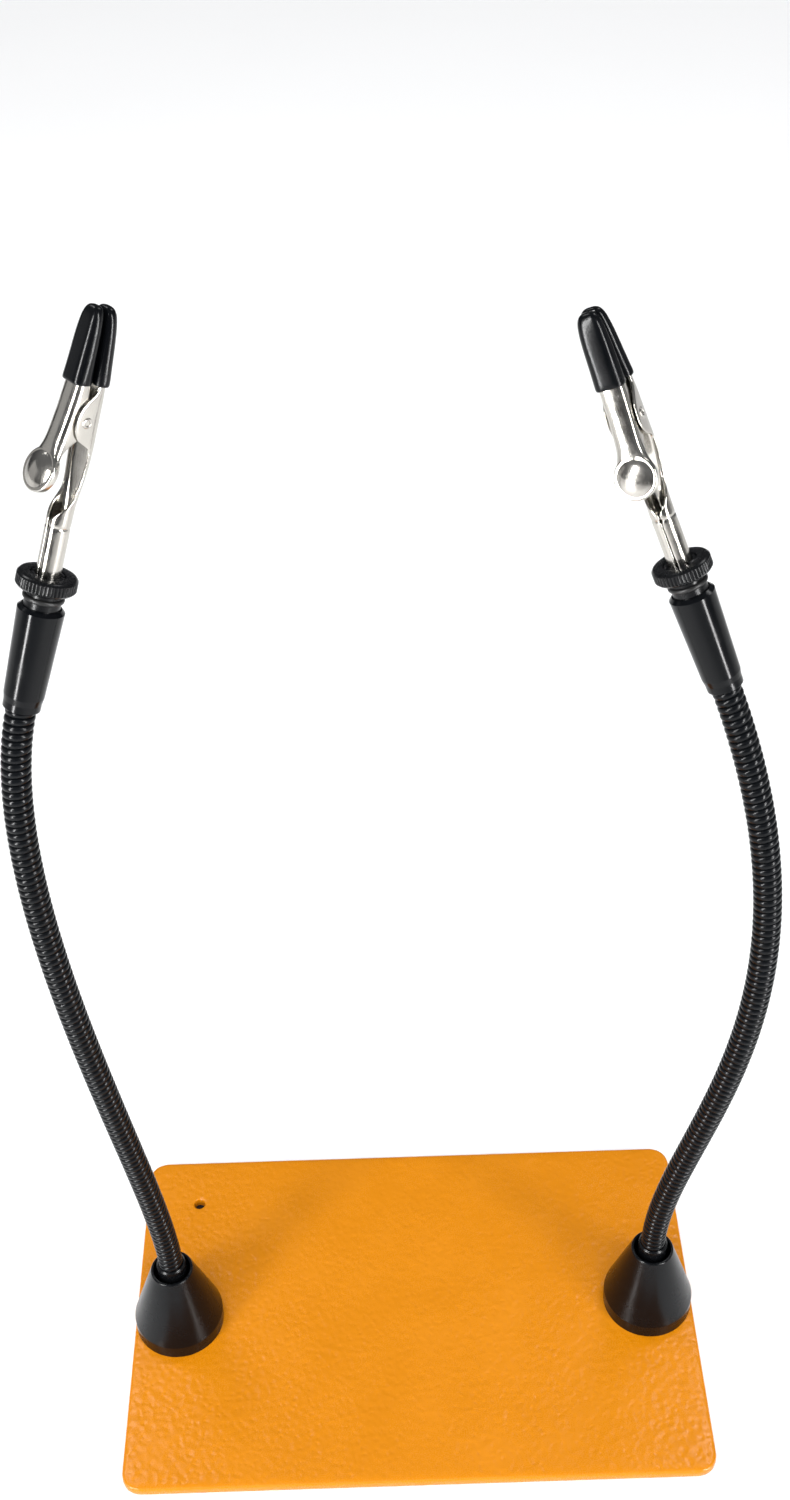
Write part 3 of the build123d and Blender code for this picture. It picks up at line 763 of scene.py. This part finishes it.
def length_at(points, lengths, place):
    """How far along the line its point nearest to a place lies."""
    return min(zip(points, lengths), key=lambda pair: (pair[0] - place).length)[1]


# %% Wind and bend the goosenecks
def wound_tube(name, start, turns):
    """A straight ribbed tube about Z from a height, wound from one rib's outline."""
    bpy.ops.mesh.primitive_circle_add(
        vertices=RIB_POINTS, radius=1.0, rotation=(math.pi / 2, 0, 0),
        location=(NECK_RADIUS - RIB_DEPTH, 0, start + RIB_PITCH / 2),
    )
    tube = settle(bpy.context.object, name, (RIB_DEPTH, RIB_PITCH / 2, 1))
    edit(tube, "VERT")
    pick(tube, "verts", lambda v: v.co.x < NECK_RADIUS - RIB_DEPTH - TINY)
    bpy.ops.mesh.delete(type="VERT")
    done()
    modifier(tube, "SCREW", axis="Z", angle=math.tau, screw_offset=RIB_PITCH, iterations=turns,
             steps=WINDING_STEPS, render_steps=WINDING_STEPS, use_merge_vertices=False)
    tidy_mesh(tube, RIB_WELD)
    edit(tube, "EDGE")
    bpy.ops.mesh.select_non_manifold()
    bpy.ops.mesh.edge_face_add()
    done()
    crest = tube.data.attributes.new("crest", "FLOAT", "POINT")
    for vertex, value in zip(tube.data.vertices, crest.data):
        value.value = (vertex.co.xy.length - NECK_RADIUS + RIB_DEPTH) / RIB_DEPTH
    return tube


BENDS = ("low", "middle", "high")
REPLACED = (
    ("gooseneck_1", "bend_1"),
    ("gooseneck_2", "bend_2"),
    ("gooseneck_3", "bend_3", "gooseneck_4"),
)

for side in SIDES:
    line = neck_line(side)
    points, lengths = along_line(line)
    joints = [Vector(JOINTS[f"{side}_{bend}_bend"]["pos_m"]) for bend in BENDS]
    places = [length_at(points, lengths, joint) for joint in joints]
    between = [(one + other) / 2 for one, other in zip(places, places[1:])]
    cuts = [-HIDDEN_END, *between, lengths[-1] + HIDDEN_END]
    marks = [round((cut - cuts[0]) / RIB_PITCH) for cut in cuts]
    for k in range(len(BENDS)):
        start = cuts[0] + marks[k] * RIB_PITCH
        tube = wound_tube(f"{side}_neck_{k + 1}", start, marks[k + 1] - marks[k])
        modifier(tube, "CURVE", object=line, deform_axis="POS_Z")
        smooth(tube, degrees=80)
        tube.data.materials.append(NECK)
        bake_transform(tube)
        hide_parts(*(f"{side}_{node}" for node in REPLACED[k]))
        report(tube)
    bpy.data.objects.remove(line)

# %% [markdown]
# ## Building a piece ring by ring
# Pressed and drawn pieces change their section as they go. Each starts as a circle primitive that
# is extruded again and again. A turned piece has each new ring resized about its axis. A pressed
# one has the points of each new ring moved to the next outline. The pieces of a head are modelled
# upright in the head's own frame, and a copy with its own mesh is then placed for each side.


# %% Ring helpers
def shift_points(obj, moves):
    """Moves points of the mesh being edited, given as index: Vector, and leaves them selected."""
    together = {}
    for index, move in moves.items():
        together.setdefault(tuple(round(value, 9) for value in move), set()).add(index)
    for move, chosen in together.items():
        if any(move):
            pick(obj, "verts", lambda v: v.index in chosen)
            bpy.ops.transform.translate(value=move)
    pick(obj, "verts", lambda v: v.index in moves)


def nearest_moves(obj, now, wanted):
    """How far each selected point goes, found from the place in now that it is nearest to."""
    mesh = bmesh.from_edit_mesh(obj.data)
    mesh.verts.index_update()
    moves = {}
    for vert in mesh.verts:
        if vert.select:
            k = min(range(len(now)), key=lambda i: (now[i] - vert.co).length_squared)
            moves[vert.index] = wanted[k] - vert.co
    return moves


def extruded(name, rings, closed=True):
    """Extrudes a circle primitive through rings of points, all with as many points."""
    count = len(rings[0])
    bpy.ops.mesh.primitive_circle_add(vertices=count, radius=MM)
    obj = settle(bpy.context.object, name)
    start = [vert.co.copy() for vert in obj.data.vertices]
    edit(obj, "VERT")
    bpy.ops.mesh.select_all(action="SELECT")
    shift_points(obj, nearest_moves(obj, start, rings[0]))
    if not closed:
        ends = (rings[0][0], rings[0][-1])
        gap = (ends[0] + ends[1]) / 2
        bpy.ops.mesh.select_mode(type="EDGE")
        pick(obj, "edges", lambda e: (e.verts[0].co + e.verts[1].co - 2 * gap).length < NEAR)
        bpy.ops.mesh.delete(type="EDGE")
        bpy.ops.mesh.select_mode(type="VERT")
    bpy.ops.mesh.select_all(action="SELECT")
    for before, after in zip(rings, rings[1:]):
        bpy.ops.mesh.extrude_region_move(TRANSFORM_OT_translate={"value": (0, 0, 0)})
        shift_points(obj, nearest_moves(obj, before, after))
    done()
    return obj


def turned_piece(name, profile, count):
    """Extrudes a circle about Z through (radius, height) in mm, resizing each new ring."""
    radius, height = profile[0]
    bpy.ops.mesh.primitive_circle_add(
        vertices=count, radius=radius * MM, location=(0, 0, height * MM))
    obj = settle(bpy.context.object, name)
    edit(obj, "EDGE")
    bpy.ops.mesh.select_all(action="SELECT")
    for new_radius, new_height in profile[1:]:
        rise = (0, 0, (new_height - height) * MM)
        bpy.ops.mesh.extrude_region_move(TRANSFORM_OT_translate={"value": rise})
        ratio = new_radius / radius
        bpy.ops.transform.resize(
            value=(ratio, ratio, 1), center_override=(0, 0, new_height * MM))
        radius, height = new_radius, new_height
    done()
    return obj


def place_at(obj, matrix):
    """Turns and moves a piece, and puts its place into its mesh."""
    take(obj)
    obj.matrix_world = matrix
    bpy.ops.object.transform_apply(location=True, rotation=True, scale=True)


def cap_ends(obj):
    """Closes every open end with one face."""
    edit(obj, "EDGE")
    bpy.ops.mesh.select_non_manifold()
    bpy.ops.mesh.edge_face_add()
    bpy.ops.mesh.select_all(action="SELECT")
    bpy.ops.mesh.normals_make_consistent(inside=False)
    done()


def put_on_heads(piece, title, body, nodes, finish):
    """Copies a piece from the upright head frame to both heads and lets each copy ride there."""
    for side, place in HEADS.items():
        copy = piece.copy()
        copy.data = piece.data.copy()
        bpy.context.collection.objects.link(copy)
        place_at(copy, place)
        copy.name = copy.data.name = f"{side}_{title}"
        copy.data.materials.append(finish[side] if isinstance(finish, dict) else finish)
        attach(copy, f"{side}_{body}")
        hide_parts(*(f"{side}_{node}" for node in nodes))
    report(copy)
    bpy.data.objects.remove(piece)


# %% [markdown]
# ## The crocodile clip's two jaws
# Each jaw is pressed from one piece of thin nickel-plated steel. The fixed jaw is rolled into a
# barrel at its foot, opens in a V, and becomes a channel whose cheeks rise round the rivet. The
# lever is the same kind of channel the other way round. So both are an open strip of thirteen
# points across that is extruded along the clip, then given the sheet's thickness and smoothed.

# %% Jaw sections
SHEET = 0.6 * MM
STRIP = 13
# the crown is in mm, its share halfway out is a ratio, and the seam is a cosine
CROWN = 0.16
CROWN_HALFWAY = 0.7
SHUT_SEAM = 0.9985
MID_HEIGHT = 30.0 * MM


def channel_points(back, front, half, corner, height):
    """Half round corners join the two cheeks to the back. All in mm, from one front edge round."""
    facing = 1 if back > front else -1
    back -= facing * CROWN
    square = back - facing * corner
    bent = corner * (1 - math.sqrt(0.5))
    one_side = [
        (half, front),
        (half, (front + square) / 2),
        (half, square),
        (half - bent, back - facing * bent),
        (half - corner, back),
        ((half - corner) / 2, back + facing * CROWN * CROWN_HALFWAY),
    ]
    other_side = [(-x, y) for x, y in one_side]
    points = [*other_side, (0, back + facing * CROWN), *reversed(one_side)]
    return [Vector((x, y, height)) for x, y in points]


def rolled_points(radius, front, height):
    """The same strip rolled about Z, its two front edges as far forward as front."""
    opening = math.acos(max(-SHUT_SEAM, min(SHUT_SEAM, front / radius)))
    angles = [opening * (1 - k / (STRIP // 2)) for k in range(STRIP)]
    return [Vector((-radius * math.sin(a), radius * math.cos(a), height)) for a in angles]


def jaw(name, stations, barrel_radius=None):
    """A pressed jaw. The strip's outer face points away from the other jaw before it thickens."""
    rings = []
    for height, back, front, half, corner, rolled in stations:
        flat = channel_points(back, front, half, corner, height)
        if rolled:
            radius = min(half, barrel_radius)
            flat = [a.lerp(b, rolled) for a, b in zip(flat, rolled_points(radius, front, height))]
        rings.append([point * MM for point in flat])
    strip = extruded(name, rings, closed=False)
    edit(strip)
    bpy.ops.mesh.select_all(action="SELECT")
    bpy.ops.mesh.normals_make_consistent(inside=False)
    done()
    faces = strip.data.polygons
    middle = min(faces, key=lambda f: abs(f.center.x) + abs(f.center.z - MID_HEIGHT))
    outwards = 1 if stations[0][1] > 0 else -1
    if middle.normal.y * outwards < 0:
        edit(strip)
        bpy.ops.mesh.select_all(action="SELECT")
        bpy.ops.mesh.flip_normals()
        done()
    modifier(strip, "SOLIDIFY", thickness=SHEET, offset=-1.0)
    modifier(strip, "SUBSURF", levels=2, render_levels=2)
    smooth(strip, degrees=60)
    return strip


# %% Fixed jaw
# height, back, front edge, half width, corner, share rolled
FIXED_JAW = (
    (-4.0, 2.6, -2.6, 2.6, 1.0, 1), (4.0, 2.6, -2.6, 2.6, 1.0, 1), (9.3, 2.6, -2.6, 2.6, 1.0, 1),
    (9.7, 2.6, -2.6, 2.6, 1.0, 1), (9.85, 2.6, -2.4, 2.42, 1.0, 1),
    (10.05, 2.6, -2.4, 2.42, 1.0, 1), (10.2, 2.6, -2.6, 2.6, 1.0, 1),
    (11.2, 2.6, -2.6, 2.6, 1.0, 1), (12.2, 2.6, -2.4, 2.6, 1.0, 1),
    (13.6, 2.62, -1.3, 2.6, 1.0, 1), (15.2, 2.66, 0.1, 2.62, 1.0, 0.85),
    (16.8, 2.72, 1.0, 2.68, 1.1, 0.5), (18.6, 2.76, 1.3, 2.82, 1.1, 0.2),
    (22.0, 2.8, 1.35, 3.05, 1.0, 0), (25.2, 2.8, 1.3, 3.25, 1.0, 0),
    (26.4, 2.8, 0.9, 3.3, 1.0, 0), (27.2, 2.8, -0.8, 3.3, 1.0, 0), (28.2, 2.8, -2.2, 3.3, 1.0, 0),
    (29.8, 2.8, -3.05, 3.3, 1.0, 0), (31.8, 2.8, -3.25, 3.3, 1.0, 0),
    (33.6, 2.8, -2.8, 3.3, 1.0, 0), (35.2, 2.8, -1.6, 3.3, 1.0, 0),
    (36.4, 2.8, -0.2, 3.25, 1.0, 0), (37.6, 2.8, 0.75, 3.2, 1.0, 0),
    (40.5, 2.75, 0.75, 2.95, 0.9, 0), (46.5, 2.45, 0.75, 2.55, 0.8, 0),
    (52.0, 2.1, 0.75, 2.15, 0.7, 0),
)
BARREL_RADIUS = 2.6

fixed_jaw = jaw("fixed_jaw", FIXED_JAW, BARREL_RADIUS)
put_on_heads(fixed_jaw, "fixed_jaw", "clip", ["clip_base"], NICKEL)

# %% [markdown]
# ## The lever and its thumb pad
# The lever ends in a round pad with a shallow dome in a raised rim. The pad is drawn in the press
# from the same sheet. Here it is a stack of rings about its own tilted axis, joined to the lever.

# %% Lever
# height, back, front edge, half width, corner, share rolled
LEVER = (
    (19.6, -7.66, -6.7, 3.7, 0.55, 0), (21.0, -7.25, -6.2, 4.2, 0.6, 0),
    (22.4, -6.86, -5.8, 4.1, 0.65, 0), (23.5, -6.56, -5.45, 3.68, 0.75, 0),
    (24.4, -6.34, -5.05, 3.2, 0.85, 0), (25.3, -6.14, -4.4, 2.86, 1.0, 0),
    (26.3, -5.94, -3.3, 2.68, 1.1, 0), (27.4, -5.7, -1.7, 2.6, 1.2, 0),
    (28.8, -5.38, 0.2, 2.6, 1.2, 0), (30.1, -5.1, 1.4, 2.6, 1.2, 0),
    (31.6, -4.8, 1.9, 2.6, 1.2, 0), (33.1, -4.5, 1.7, 2.6, 1.2, 0),
    (34.5, -4.3, 0.9, 2.6, 1.2, 0), (35.7, -4.1, -0.1, 2.6, 1.15, 0),
    (36.9, -3.9, -0.75, 2.55, 1.1, 0), (39.0, -3.6, -0.75, 2.5, 1.0, 0),
    (45.0, -2.9, -0.75, 2.25, 0.9, 0), (52.0, -2.2, -0.75, 1.95, 0.7, 0),
)
PAD_PLACE = (0, -7.1, 21.5)
PAD_TILT = 16.0
# radius, height
PAD_PROFILE = (
    (0.5, 0.92), (1.6, 0.80), (2.7, 0.50), (3.4, 0.14), (3.62, 0.02), (3.8, 0.05), (4.1, 0.06),
    (4.3, -0.1), (4.36, -0.35), (4.36, -1.2), (4.25, -1.42), (4.0, -1.45), (3.8, -1.3),
    (3.7, -0.75), (2.0, -0.6), (0.5, -0.6),
)

lever = jaw("lever", LEVER)
tilt = Matrix.Rotation(math.radians(90 - PAD_TILT), 4, "X")
pad = turned_piece("pad", PAD_PROFILE, count=32)
place_at(pad, Matrix.Translation(Vector(PAD_PLACE) * MM) @ tilt)
cap_ends(pad)
modifier(pad, "SUBSURF", levels=1, render_levels=1)
smooth(pad, degrees=60)
take(lever)
pad.select_set(True)
bpy.ops.object.join()
put_on_heads(lever, "jaw_lever", "lever", ["clip_lever"], NICKEL)

# %% [markdown]
# ## The rivet
# A tubular rivet holds the jaws: its ends are rolled over into small rings with a dark hole.

# %% Rivet
RIVET_PLACE = (0, -0.6, 31.5)
CHEEK = 3.3
# radius, height over the cheek
RIVET_END = (
    (0.42, -1.5), (0.48, -0.2), (0.54, 0.1), (0.7, 0.2), (0.92, 0.17), (1.06, 0.05),
    (1.06, -0.05), (0.78, -0.12),
)
left_end = [(radius, CHEEK + height) for radius, height in RIVET_END]
right_end = [(radius, -height) for radius, height in reversed(left_end)]
rivet = turned_piece("rivet", left_end + right_end, count=24)
cap_ends(rivet)
sideways = Matrix.Rotation(math.pi / 2, 4, "Y")
place_at(rivet, Matrix.Translation(Vector(RIVET_PLACE) * MM) @ sideways)
smooth(rivet, degrees=50)
put_on_heads(rivet, "clip_eyelet", "clip", ["clip_rivet"], NICKEL)

# %% [markdown]
# ## The soft tip sleeves
# A short PVC sleeve is pushed over each jaw tip so that the teeth don't mark a board. It takes the
# jaw's boxy shape with soft shoulders, swells a little at its open end, and closes in a blunt dome.

# %% Tip sleeves
CORNER_POINTS = 5
LEAST_FLAT = 0.01


def soft_box(half, near, far, corner, height):
    """A rounded rectangle between two y values, in mm."""
    points = []
    low, high = min(near, far), max(near, far)
    corner = min(corner, (high - low) / 2 - LEAST_FLAT, half - LEAST_FLAT)
    centres = ((half - corner, high - corner, 0), (corner - half, high - corner, 90),
               (corner - half, low + corner, 180), (half - corner, low + corner, 270))
    for x, y, start in centres:
        for k in range(CORNER_POINTS):
            a = math.radians(start + 90 * k / (CORNER_POINTS - 1))
            point = (x + corner * math.cos(a), y + corner * math.sin(a), height)
            points.append(Vector(point) * MM)
    return points


def tip_sleeve(name, side, stations):
    """A sleeve over one jaw tip. Its side is -1 on the lever and 1 on the fixed jaw."""
    rings = []
    for height, half, near, far, corner in stations:
        rings.append(soft_box(half, side * near, side * far, corner, height))
    sleeve = extruded(name, rings)
    cap_ends(sleeve)
    modifier(sleeve, "SUBSURF", levels=2, render_levels=2)
    smooth(sleeve, degrees=80)
    return sleeve


# height, half width, inner face, outer face, corner
LEVER_SLEEVE = (
    (39.4, 2.3, 0.95, 3.45, 0.8), (38.5, 2.5, 0.75, 3.75, 0.9), (38.3, 2.8, 0.35, 4.1, 1.4),
    (38.6, 3.02, 0.16, 4.38, 1.8), (39.4, 3.0, 0.14, 4.36, 1.9), (41.5, 2.95, 0.14, 4.1, 1.9),
    (44.0, 2.9, 0.14, 3.85, 1.85), (46.5, 2.82, 0.14, 3.6, 1.7), (49.0, 2.66, 0.14, 3.3, 1.55),
    (50.8, 2.42, 0.16, 2.98, 1.4), (51.9, 2.05, 0.26, 2.66, 1.15), (52.6, 1.5, 0.5, 2.25, 0.85),
    (52.85, 0.7, 0.95, 1.75, 0.38),
)
FIXED_SLEEVE = (
    (39.4, 3.0, 0.95, 2.5, 0.7), (38.5, 3.15, 0.75, 2.7, 0.8), (38.3, 3.4, 0.35, 3.05, 1.2),
    (38.6, 3.62, 0.16, 3.38, 1.55), (39.4, 3.58, 0.14, 3.4, 1.6), (41.5, 3.4, 0.14, 3.36, 1.58),
    (44.0, 3.22, 0.14, 3.26, 1.52), (46.5, 3.08, 0.14, 3.12, 1.46),
    (49.0, 2.86, 0.14, 2.95, 1.38), (50.8, 2.58, 0.16, 2.74, 1.26), (51.9, 2.2, 0.26, 2.5, 1.08),
    (52.6, 1.6, 0.5, 2.15, 0.8), (52.85, 0.7, 0.95, 1.7, 0.36),
)
lever_sleeve = tip_sleeve("lever_sleeve", -1, LEVER_SLEEVE)
put_on_heads(lever_sleeve, "lever_cover", "lever", ["lever_tip_sleeve"], TIP_PVC)
fixed_sleeve = tip_sleeve("fixed_sleeve", 1, FIXED_SLEEVE)
put_on_heads(fixed_sleeve, "fixed_cover", "clip", ["base_tip_sleeve"], TIP_PVC)

# %% [markdown]
# ## The clamp nut
# Turning this knurled ring closes the collet on the clip's barrel. The knurl is rolled straight
# into the rim only, so the top and bottom edges stay round. Each ring has four points a ridge.

# %% Clamp nut
KNURLS = 46
KNURL_DEPTH = 0.2
KNURL_FLANK = 0.07
NUT_RADIUS = 6.0
# radius, height
NUT_PROFILE = (
    (3.42, -0.25), (3.5, -0.02), (3.75, 0.0), (5.35, 0.0), (5.6, -0.06), (5.85, -0.36),
    (5.98, -0.52), (NUT_RADIUS, -0.62), (NUT_RADIUS, -1.5), (NUT_RADIUS, -2.38), (5.98, -2.48),
    (5.85, -2.64), (5.6, -2.94), (5.35, -3.0), (3.75, -3.0), (3.42, -2.9), (3.42, -0.25),
)
RIM_FROM = NUT_RADIUS * MM - TINY


def ridge_phase(vert):
    """Which of a ridge's four points this is: 0 on its crest and 2 in the groove."""
    return round(math.atan2(vert.co.y, vert.co.x) / math.tau * 4 * KNURLS) % 4


nut = turned_piece("nut", NUT_PROFILE, count=4 * KNURLS)
tidy_mesh(nut)
edit(nut, "VERT")
for phases, depth in (((2,), KNURL_DEPTH), ((1, 3), KNURL_FLANK)):
    pick(nut, "verts", lambda v: ridge_phase(v) in phases and v.co.xy.length > RIM_FROM)
    shrink = 1 - depth / NUT_RADIUS
    bpy.ops.transform.resize(value=(shrink, shrink, 1), center_override=(0, 0, 0))
done()
smooth(nut, degrees=40)
put_on_heads(nut, "knurled_nut", "nut", ["clamp_nut"], TURNED)

# %% [markdown]
# ## Finishes on the solids that stay
# The turned and moulded pieces are already true to the real ones, so they only get their finish.


# %% Assign finishes
def finish_node(node, material):
    """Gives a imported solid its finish."""
    materials = frame["nodes"][node].data.materials
    materials.clear()
    materials.append(material)


finish_node("base_mat", MAT)
for side in SIDES:
    finishes = {
        "foot_housing": FOOT_BLACK, "magnet_cup": STEEL, "foot_magnet": STEEL, "foot_screw": STEEL,
        "neck_ferrule": TURNED[side], "grip_sleeve": SLEEVE_BLACK, "spindle": TURNED[side],
        "o_ring": RING, "clip_spring": STEEL,
    }
    for node, material in finishes.items():
        finish_node(f"{side}_{node}", material)
print("solids finished on each side:", len(finishes))
